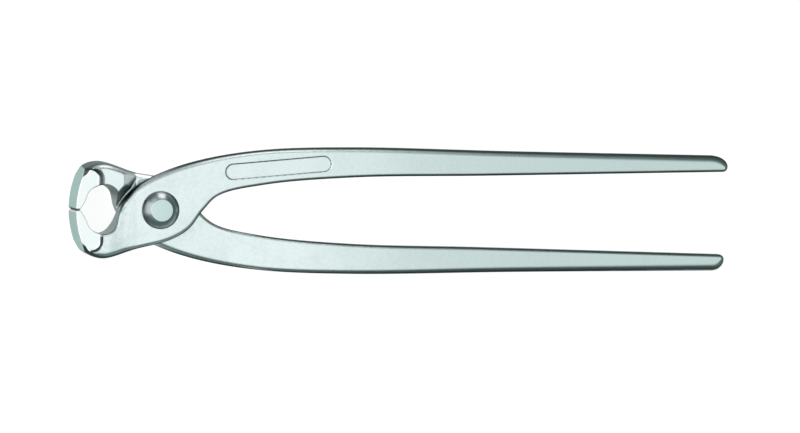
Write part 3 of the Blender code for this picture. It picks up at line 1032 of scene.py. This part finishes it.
def edge_shade_masks(at):
    """Painted shade on the rounded edges, on the forged walls and on the rear lever's crest."""
    x, turn, rear = at.x, at.turn, at.rear
    rear_head = at.head * rear
    late = at.head * rear.at_least(at.y.between(*LAP_MIDDLE))
    lap_end = rear * x.between(*BLOCK_END) * x.below(*RIVET_AXIS)
    # Painted shade on the rounded edges, weaker in places on both heads and at the rear lap's end.
    bevel = turn.between(*BEVEL_TURN).fade(rear_head, by=0.3)
    bevel = bevel.fade(late * at.front, by=0.4).fade(lap_end, by=0.8)
    # Painted shade on the forged walls, from partway round each edge onto the wall.
    far = x.between(*HANDLE_RUN)
    shade_end = WALL_SHADE_END - HANDLE_EARLY * far + HEAD_LATE * at.head
    skin = turn.between(WALL_SHADE_START - HANDLE_SHIFT * far, shade_end)
    neck = x.between(*NECK_START) * x.below(*BLOCK_END) * rear
    skin = skin + late * (turn.between(LATE_START - NECK_EARLY * neck, 1.0) - skin)
    # Less painted shade beside the front lever's wire opening, on the rear lever's head and in its
    # hollow.
    opening = at.front * x.below(*OPENING_END) * at.height.below(*OPENING_RIM)
    hollow = rear * x.below(*HOLLOW_END) * at.height.below(*HOLLOW_RIM)
    skin = skin.fade(opening, by=0.8).fade(rear_head, by=0.12).fade(hollow, by=0.75)
    # A little more painted shade at the start of the rear jaw's rounded edges.
    crest = 0.3 * rear_head * turn.between(*CREST_TURN) * x.below(*CREST_END)
    return bevel, skin, crest


def jaw_masks(s, at):
    """The jaws' ground front, side flats and wedges, and painted lines at their edges: shadow in
    the slit, a highlight on the front chamfer and shade over the rear side flat.
    """
    jaw, x, rear = s.jaw, at.x, at.rear
    ahead = (jaw.grind_radius - jaw.reach - x).at_least(0.0)
    # The ground front of the jaws, which takes the darker colour of painted shade.
    strip = (jaw.grind_radius - (ahead**2 + at.y**2) ** 0.5).below(*STRIP_DEPTH)
    behind = x + jaw.reach
    # Painted shadow along the slit between the closed jaws.
    shade = (at.height - REAR_SHADE * rear).below(*SHADE_RIM)
    shade = shade * (behind - jaw.edge_land).below(*LAND_END)
    # Painted highlight on the front jaw's chamfer, just below the slit.
    gleam = at.front * at.height.below(*GLEAM_RIM)
    gleam = gleam * (behind - jaw.edge_chamfer).below(*CHAMFER_END)
    past_flat = x - flat_right(s) - jaw.flat_shift * at.front
    left = past_flat.below(*FLAT_END)
    # Painted shade: a dark arc round the top of the rear jaw's side flat.
    rise = (at.height - (jaw.flat_height - jaw.flat_corner)).at_least(0.0)
    dome = ((past_flat + jaw.flat_corner) ** 2 + rise**2) ** 0.5 - jaw.flat_corner
    brow = rear * dome.between(*BROW_INNER) * dome.below(*BROW_OUTER) * rise.between(*BROW_RISE)
    level = abs(abs(at.z) - jaw.edge_length / 2)
    flat = left * level.below(*FLAT_LEVEL) * abs(at.out).between(*FLAT_FACING)
    wedge = left * at.height.below(*WEDGE_RIM) * (1 - strip)
    return strip, flat.at_least(wedge), wedge, shade, gleam, brow


def field_rim(s, at):
    """The thin dark line round the bare field: painted shade on its sunk wall."""
    field = s.field
    run, climb = math.cos(field.slope), math.sin(field.slope)
    right, up = at.x - field.x, at.y - field.y
    along = abs(right * run + up * climb) - (field.length - field.width) / 2
    across = up * run - right * climb
    edge = (along.at_least(0.0) ** 2 + across**2) ** 0.5 - field.width / 2
    return at.front * abs(edge + RIM_INSET).below(*RIM_WIDTH) * at.out.between(*RIM_FACING)


def plated_steel(s):
    """Bright plating over the forging: satin faces, painted shade on the rounded edges and walls,
    ground jaw faces.
    """
    material, shader, start = new_material("plated_steel")
    finish, at = s.finish, Place(start)
    cloud, grain, peel = (noise(at.spot, *pattern) for pattern in (CLOUD, GRAIN, PEEL))
    dull = (0.5 * cloud + 0.5 * grain).between(*DULL_NOISE)
    bevel, skin, crest = edge_shade_masks(at)
    strip, flat, wedge, shade, gleam, brow = jaw_masks(s, at)
    shoulder = at.x.between(*SHOULDER_START) * at.x.below(*SHOULDER_END)
    shoulder = shoulder * at.right.between(*SHOULDER_FACING)
    # Painted shade on the handles' edges that face -Y.
    underside_shade = (at.up * (at.rear - at.front)).between(*UNDER_FACING) * at.x.between(*UNDER_START)
    tint = finish.face
    # Over the plating: painted shade on edges, walls, underside, jaws' front and slit, and a
    # painted highlight on the front chamfer.
    for mask, cover in (
        (dull, finish.mottle),
        (bevel, finish.bevel),
        (skin.at_least(crest), finish.skin),
        (flat, finish.flat),
        (brow.at_least(0.38 * field_rim(s, at)), finish.skin),
        (0.45 * underside_shade, BLACK),
        (strip, finish.strip),
        (gleam, finish.flat),
        (0.85 * shade, finish.skin),
    ):
        tint = mask.mixed(tint, cover)
    connect(shader, "Base Color", tint)
    roughness = 0.27 + 0.08 * dull + 0.06 * skin + 0.3 * shoulder + 0.7 * shade
    connect(shader, "Roughness", roughness)
    connect(shader, "Metallic", (1 - 0.75 * shoulder - 0.5 * wedge) * (1 - shade))
    connect(shader, "Normal", bumped(0.6 * grain + 0.4 * peel, 0.10, 0.4 * MM))
    shader.inputs["Specular Tint"].default_value = (*finish.graze, 1.0)
    return material


def rivet_steel(s):
    """The rivet: a dull flat struck on a brighter, turned flank, which carries painted shade that
    grows towards its rim.
    """
    material, shader, start = new_material("rivet_steel")
    facing = abs(split(start.node("ShaderNodeTexCoord", output="Normal"))[2])
    grain = noise(start.node("ShaderNodeTexCoord", output="Object"), *RIVET_GRAIN)
    top, flank = facing.between(*RIVET_TOP), s.finish.rivet_flank
    tint = top.mixed(flank, s.finish.rivet_flat)
    # Painted shade: the outer part of the flank is darker still.
    tint = facing.below(*RIVET_RIM).mixed(tint, [c / 3 for c in flank])
    connect(shader, "Base Color", tint)
    connect(shader, "Roughness", 0.24 + 0.12 * top + 0.05 * grain)
    connect(shader, "Normal", bumped(grain, 0.004, 0.3 * MM))
    shader.inputs["Metallic"].default_value = 1.0
    return material


def floor_paper(s):
    """Pale studio paper that shows its own light to the camera and in reflections."""
    material, shader, start = new_material("floor_paper")
    grain = noise(start.node("ShaderNodeTexCoord", output="Object"), *PAPER_GRAIN)
    connect(shader, "Base Color", grain.mixed(s.finish.floor, [c * 0.99 for c in s.finish.floor]))
    seen, mirrored, through = (
        start.node("ShaderNodeLightPath", output=f"Is {ray} Ray")
        for ray in ("Camera", "Glossy", "Transmission")
    )
    shown = seen.at_least(mirrored).at_least(through)
    connect(shader, "Emission Color", shown.mixed(BLACK, WHITE))
    fixed = {"Roughness": 0.9, "Specular IOR Level": 0.1, "Emission Strength": s.stage.floor_glow}
    for socket, value in fixed.items():
        shader.inputs[socket].default_value = value
    return material


# Pieces

# The levers: piece, plain solid and body
LEVERS = (
    ("front_lever_forging", "front_lever", "front_half"),
    ("rear_lever_forging", "rear_lever", "rear_half"),
)


def add_piece(name, mesh, material):
    """A new object at the pivot."""
    mesh.materials.clear()
    mesh.materials.append(material)
    piece = new_object(name, mesh)
    piece.location = PIVOT
    return piece


class PLIERS_OT_levers(Operator):
    """Builds the front and the rear lever in place of their plain solids"""

    bl_idname = "pliers.levers"
    bl_label = "Levers"

    def execute(self, context):
        s = context.scene.pliers
        material = plated_steel(s)
        for name, node, body in LEVERS:
            is_front = body == "front_half"
            piece = add_piece(name, lever_mesh(s, name, is_front), material)
            if not is_front:
                piece.rotation_euler = (math.pi, 0.0, 0.0)
                piece.pass_index = 1
            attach(piece, body)
            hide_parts(node)
        return {"FINISHED"}


class PLIERS_OT_rivet(Operator):
    """Builds the rivet in place of its plain solid"""

    bl_idname = "pliers.rivet"
    bl_label = "Rivet"

    def execute(self, context):
        s = context.scene.pliers
        piece = add_piece("turned_rivet", rivet_mesh(s, "turned_rivet"), rivet_steel(s))
        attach(piece, "front_half")
        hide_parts("pivot_rivet")
        return {"FINISHED"}


# The stage

# Square lamps: name, side, place, and the point that they face
LAMPS = (
    ("panel", 0.72, (-0.17, 0.0, 0.5), (-0.17, 0.0, 0.0)),
    ("left", 0.74, (-0.52, 0.09, 0.43), PIVOT),
    ("corner", 0.24, (-0.24, 0.44, 0.30), PIVOT),
    ("top", 0.26, (0.09, 0.50, 0.12), PIVOT),
    ("right", 0.7, (1.18, 0.0, 1.62), PIVOT),
)


def add_floor(s):
    """A pale disc just under the tool."""
    build = bmesh.new()
    radius = s.stage.floor_radius
    bmesh.ops.create_circle(build, cap_ends=True, segments=FLOOR_SIDES, radius=radius)
    mesh = finished(build, "floor")
    mesh.materials.append(floor_paper(s))
    floor = new_object("floor", mesh)
    floor.location.z = CAD_LOW.z - FLOOR_GAP


def add_studio(s):
    """The studio round the tool: bright overhead, dim towards the horizon."""
    world = bpy.data.worlds.new("studio")
    world.use_nodes = True
    start = Wire(world.node_tree)
    up = split(start.node("ShaderNodeTexCoord", output="Generated"))[2]
    levels = (s.stage.horizon, s.stage.overhead)
    low, high = ([c * level for c in s.finish.studio] for level in levels)
    tint = up.between(*OVERHEAD_START).mixed(low, high)
    connect(world.node_tree.nodes["Background"], "Color", tint)
    bpy.context.scene.world = world


def add_lamp(name, side, at, towards, radiance, tint):
    """A soft square lamp that faces a point."""
    lamp = bpy.data.lights.new(name, "AREA")
    lamp.shape, lamp.size = "SQUARE", side
    lamp.energy = radiance * math.pi * side * side
    lamp.color = tint
    obj = new_object(name, lamp)
    obj.location = at
    obj.rotation_euler = (Vector(towards) - Vector(at)).to_track_quat("-Z", "Y").to_euler()


def add_camera(s):
    """The camera, placed so that the pivot falls on its pixel."""
    stage = s.stage
    yaw, pitch, scale = stage.yaw, stage.pitch, stage.pixels_per_metre
    level = math.cos(pitch)
    back = Vector((-math.sin(yaw) * level, math.sin(pitch), math.cos(yaw) * level))
    right = Vector((math.cos(yaw), 0.0, math.sin(yaw)))
    right = Matrix.Rotation(stage.roll, 3, back) @ right
    up = back.cross(right)
    middle = (size / 2 - pixel for size, pixel in zip(IMAGE_SIZE, stage.pivot_pixel))
    across, down = (pixels / scale for pixels in middle)
    centre = PIVOT + right * across - up * down
    camera = bpy.data.cameras.new("camera")
    camera.sensor_width = SENSOR_WIDTH
    camera.lens = SENSOR_WIDTH * stage.distance * scale / IMAGE_SIZE[0]
    camera.clip_start, camera.clip_end = CLIP_RANGE
    obj = new_object("camera", camera)
    pose = Matrix((right, up, back)).transposed().to_4x4()
    pose.translation = centre + back * stage.distance
    obj.matrix_world = pose
    bpy.context.scene.camera = obj


class PLIERS_OT_stage(Operator):
    """Sets the floor, the light and the camera"""

    bl_idname = "pliers.stage"
    bl_label = "Stage"

    def execute(self, context):
        s = context.scene.pliers
        add_floor(s)
        add_studio(s)
        for name, side, at, towards in LAMPS:
            add_lamp(name, side, at, towards, getattr(s.stage, name + "_glow"), s.finish.panel)
        add_camera(s)
        context.scene.view_settings.view_transform = "Standard"
        return {"FINISHED"}


class PLIERS_PT_build(Panel):
    """Lists the pieces in the sidebar"""

    bl_label = "Rebar Tying Pliers"
    bl_idname = "PLIERS_PT_build"
    bl_space_type = "VIEW_3D"
    bl_region_type = "UI"
    bl_category = "Pliers"

    def draw(self, context):
        for operator in OPERATORS:
            self.layout.operator(operator.bl_idname)


SIZES = (HandleSizes, LapSizes, JawSizes, EdgeSizes, FieldSizes, RivetSizes)
GROUPS = (*SIZES, FinishColours, StageSettings, PliersSettings)
OPERATORS = (PLIERS_OT_stage, PLIERS_OT_levers, PLIERS_OT_rivet)


def register():
    for cls in (*GROUPS, *OPERATORS, PLIERS_PT_build):
        bpy.utils.register_class(cls)
    bpy.types.Scene.pliers = group(PliersSettings, "Pliers", "All settings")


def unregister():
    del bpy.types.Scene.pliers
    for cls in reversed((*GROUPS, *OPERATORS, PLIERS_PT_build)):
        bpy.utils.unregister_class(cls)


def main():
    register()
    bpy.ops.pliers.stage()
    bpy.ops.pliers.levers()
    bpy.ops.pliers.rivet()


if __name__ == "__main__":
    main()
